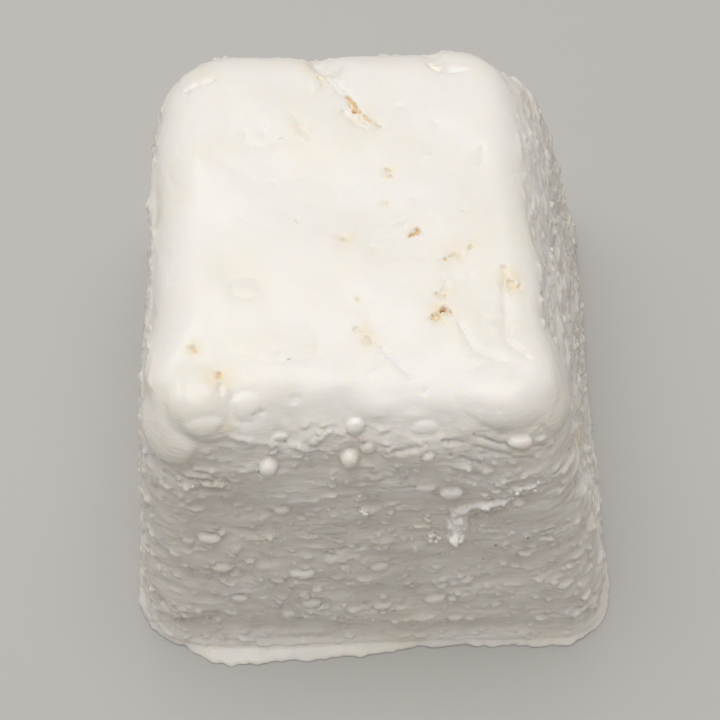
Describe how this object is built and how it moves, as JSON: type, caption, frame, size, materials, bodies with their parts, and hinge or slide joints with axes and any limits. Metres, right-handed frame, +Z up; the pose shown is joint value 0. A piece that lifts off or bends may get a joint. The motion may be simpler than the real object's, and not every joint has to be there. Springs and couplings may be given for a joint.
{
  "type": "feta block",
  "caption": "Pressed block of white brined cheese with leaning wrinkled walls, rounded corners, curd openings in the top and a thin lip at the foot.",
  "frame": {"origin": "middle of the foot's bounding rectangle, on the surface that the block stands on", "axes": "+Z up from the foot to the top, -Y towards the front wall with the scraped scar, +X to the right seen from the front"},
  "size_m": [0.101, 0.1181, 0.0773],
  "materials": {
    "feta": "moist satin, off-white curd with pale straw openings"
  },
  "bodies": {
    "root": {"feta_block": "feta"}
  },
  "joints": []
}
